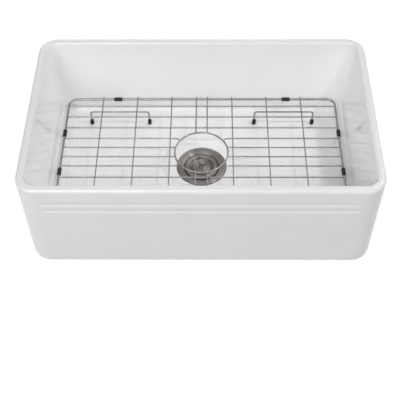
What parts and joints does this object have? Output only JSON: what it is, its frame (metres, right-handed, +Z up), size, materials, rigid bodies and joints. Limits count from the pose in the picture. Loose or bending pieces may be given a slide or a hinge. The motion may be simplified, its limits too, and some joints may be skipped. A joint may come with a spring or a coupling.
{
  "type": "farmhouse apron front sink",
  "caption": "White fireclay farmhouse sink with a grooved apron front, rounded rim, lift-out stainless wire bottom grid on rubber feet, and a basket strainer drain with a knobbed lid.",
  "frame": {"origin": "centre of the base plane, on the drain's axis", "axes": "+X to the right along the apron, +Y from the apron to the back, +Z up"},
  "size_m": [0.762, 0.464, 0.3202],
  "materials": {
    "glaze": "glossy white glaze",
    "drain_steel": "spun and brushed stainless steel",
    "wire_steel": "polished stainless wire",
    "rubber": "matt black rubber",
    "black_plastic": "moulded black plastic",
    "fibre_card": "pressed fibre"
  },
  "bodies": {
    "root": {"sink_bowl": "glaze", "strainer_body": "drain_steel", "flange_seal": "rubber", "deck_gasket": "rubber", "friction_ring": "fibre_card", "locknut": "black_plastic", "tail_washer": "rubber", "outlet_tail": "black_plastic", "outlet_nut": "black_plastic"},
    "grid": {"grid_frame": "wire_steel", "grid_ring": "wire_steel", "long_wire_front_1": "wire_steel", "long_wire_front_2": "wire_steel", "long_wire_front_3": "wire_steel", "half_wire_front_left_1": "wire_steel", "half_wire_front_left_2": "wire_steel", "half_cross_wire_front_left": "wire_steel", "half_wire_front_right_1": "wire_steel", "half_wire_front_right_2": "wire_steel", "half_cross_wire_front_right": "wire_steel", "long_wire_back_1": "wire_steel", "long_wire_back_2": "wire_steel", "long_wire_back_3": "wire_steel", "half_wire_back_left_1": "wire_steel", "half_wire_back_left_2": "wire_steel", "half_cross_wire_back_left": "wire_steel", "half_wire_back_right_1": "wire_steel", "half_wire_back_right_2": "wire_steel", "half_cross_wire_back_right": "wire_steel", "cross_wire_left_1": "wire_steel", "cross_wire_left_2": "wire_steel", "cross_wire_left_3": "wire_steel", "cross_wire_right_1": "wire_steel", "cross_wire_right_2": "wire_steel", "cross_wire_right_3": "wire_steel", "foot_wire_front_left": "wire_steel", "foot_cap_front_left_inner": "rubber", "foot_cap_front_left_outer": "rubber", "bumper_front_left_end": "rubber", "bumper_front_left_side": "rubber", "foot_wire_front_right": "wire_steel", "foot_cap_front_right_inner": "rubber", "foot_cap_front_right_outer": "rubber", "bumper_front_right_end": "rubber", "bumper_front_right_side": "rubber", "foot_wire_back_left": "wire_steel", "foot_cap_back_left_inner": "rubber", "foot_cap_back_left_outer": "rubber", "bumper_back_left_end": "rubber", "bumper_back_left_side": "rubber", "foot_wire_back_right": "wire_steel", "foot_cap_back_right_inner": "rubber", "foot_cap_back_right_outer": "rubber", "bumper_back_right_end": "rubber", "bumper_back_right_side": "rubber"},
    "basket": {"basket": "drain_steel"},
    "lid": {"lid": "drain_steel", "lid_seal": "rubber", "lid_knob": "drain_steel", "knob_screw": "drain_steel"}
  },
  "joints": [
    {"name": "grid_lift", "type": "slide", "parent": "root", "child": "grid", "axis": [0, 0, 1], "range_m": [0, 0.25]},
    {"name": "basket_lift", "type": "slide", "parent": "root", "child": "basket", "axis": [0, 0, 1], "range_m": [0, 0.28]},
    {"name": "lid_lift", "type": "slide", "parent": "basket", "child": "lid", "axis": [0, 0, 1], "range_m": [0, 0.25]}
  ]
}
